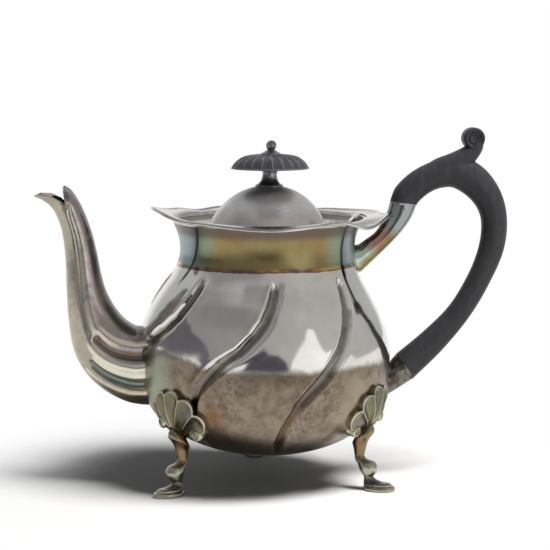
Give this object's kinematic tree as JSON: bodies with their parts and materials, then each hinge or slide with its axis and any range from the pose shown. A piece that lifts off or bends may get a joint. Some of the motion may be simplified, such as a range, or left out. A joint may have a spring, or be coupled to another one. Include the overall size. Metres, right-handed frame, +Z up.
{
  "type": "teapot",
  "caption": "Melon-shaped silver teapot on cast shell feet, with a swan-neck spout, wavy rim, hinged domed lid and black scroll handle.",
  "frame": {"origin": "centre of the bottom of the pot's box, on the surface it stands on", "axes": "+Z up, +X from the pot towards the handle, -X towards the spout, -Y the front with two feet"},
  "size_m": [0.2631, 0.143, 0.1964],
  "materials": {
    "polished_silver": "polished silver with a soft patina",
    "tarnished_silver": "toned silver with straw and blue tarnish",
    "cast_silver": "cast silver with gold-brown tarnish",
    "dark_silver": "darkly tarnished silver",
    "ebonised_wood": "ebonised hardwood, satin"
  },
  "bodies": {
    "pot": {"body": "polished_silver", "rim_border": "polished_silver", "lid_seat_ring": "polished_silver", "spout": "tarnished_silver", "upper_handle_socket": "tarnished_silver", "lower_handle_socket": "tarnished_silver", "handle": "ebonised_wood", "upper_handle_pin": "polished_silver", "lower_handle_pin": "polished_silver", "front_left_foot": "cast_silver", "front_right_foot": "cast_silver", "back_foot": "cast_silver", "pot_hinge_leaf": "polished_silver", "hinge_pin": "dark_silver"},
    "lid": {"lid": "polished_silver", "lid_bezel": "polished_silver", "lid_hinge_leaf": "polished_silver", "knob_stem": "dark_silver", "knob_disc": "ebonised_wood", "knob_cap": "dark_silver", "knob_bolt": "dark_silver", "knob_washer": "dark_silver", "knob_nut": "dark_silver"}
  },
  "joints": [
    {"name": "lid_hinge", "type": "hinge", "parent": "pot", "child": "lid", "pos_m": [0.04645, -0.00395, 0.1465], "axis": [0, 1, 0], "range_deg": [0, 90]}
  ]
}
